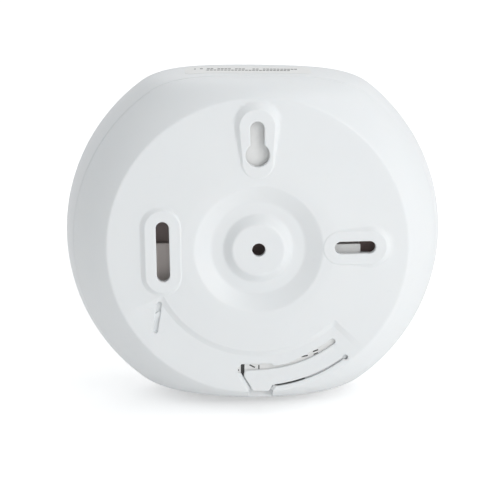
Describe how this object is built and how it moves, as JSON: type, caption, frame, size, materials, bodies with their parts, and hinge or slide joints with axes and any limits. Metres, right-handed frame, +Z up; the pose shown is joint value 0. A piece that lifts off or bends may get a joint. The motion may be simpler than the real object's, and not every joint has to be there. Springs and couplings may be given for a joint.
{
  "type": "smoke detector",
  "caption": "Round sealed-for-life smoke alarm with flattened sides, on a twist-off mounting base with screw slots and a spring latch; push-to-test button in front.",
  "frame": {"origin": "centre of the alarm: on its round axis, halfway between the wall plane at y = 0.024075 and the front of the cap", "axes": "+Y into the wall, so the room side with the test button faces -Y; +Z up, towards the flat that carries the date label; +X to the right seen from the room"},
  "size_m": [0.116, 0.0482, 0.1021],
  "materials": {
    "base_white": "fine matte",
    "shell_white": "fine satin",
    "label_paper": "printed label film",
    "black_plastic": "matte",
    "circuit_board": "solder mask",
    "steel": "plated",
    "mesh_steel": "woven",
    "brass": "rolled",
    "piezo_ceramic": null,
    "clear_acrylic": "polished clear plastic",
    "cell_sleeve": "shrink sleeve",
    "chip_black": "moulded epoxy",
    "can_sleeve": "shrink sleeve",
    "copper": null
  },
  "bodies": {
    "base": {"mounting_base": "base_white"},
    "latch": {"latch_arm": "base_white"},
    "head": {"rear_housing": "base_white", "rating_label": "label_paper", "front_cover": "shell_white", "date_label": "label_paper", "button_spring": "steel", "light_pipe": "clear_acrylic", "indicator_led": "clear_acrylic", "circuit_board": "circuit_board", "board_screw_1": "steel", "board_screw_2": "steel", "board_screw_3": "steel", "housing_screw_1": "steel", "housing_screw_2": "steel", "housing_screw_3": "steel", "tact_switch": "black_plastic", "alarm_chip": "chip_black", "chamber_base": "black_plastic", "chamber_cover": "black_plastic", "insect_mesh": "mesh_steel", "infrared_emitter": "clear_acrylic", "photodiode": "chip_black", "sounder_housing": "black_plastic", "sounder_disc": "brass", "sounder_ceramic": "piezo_ceramic", "sounder_spring_centre": "copper", "sounder_spring_feedback": "copper", "sounder_spring_rim": "copper", "lithium_cell": "cell_sleeve", "cell_tab_negative": "steel", "cell_tab_positive": "steel", "horn_transformer": "chip_black", "transformer_winding": "copper", "storage_capacitor": "can_sleeve", "microcontroller": "chip_black", "service_header": "black_plastic"},
    "slider": {"power_slider": "black_plastic", "slider_wiper": "copper"},
    "button": {"test_button": "shell_white"},
    "plunger": {"switch_plunger": "black_plastic"}
  },
  "joints": [
    {"name": "head_twist", "type": "hinge", "parent": "base", "child": "head", "pos_m": [0, 0.02407, 0], "axis": [0, -1, 0], "range_deg": [0, 12]},
    {"name": "latch_flex", "type": "hinge", "parent": "base", "child": "latch", "pos_m": [-0.02401, 0.02407, -0.03073], "axis": [0, -1, 0], "range_deg": [0, 2.4], "stiffness_Nm_per_rad": 0.1},
    {"name": "power_slide", "type": "hinge", "parent": "head", "child": "slider", "pos_m": [0, 0.02407, 0], "axis": [0, -1, 0], "range_deg": [-12, 0]},
    {"name": "button_press", "type": "slide", "parent": "head", "child": "button", "axis": [0, 1, 0], "range_m": [0, 0.001], "stiffness_N_per_m": 1200, "deforming": ["button_spring"]},
    {"name": "plunger_press", "type": "slide", "parent": "head", "child": "plunger", "axis": [0, 1, 0], "range_m": [0, 0.00025]}
  ],
  "couplings": [
    {"joint": "power_slide", "follows": "head_twist", "ratio": -1},
    {"joint": "plunger_press", "follows": "button_press", "ratio": 0.25}
  ]
}
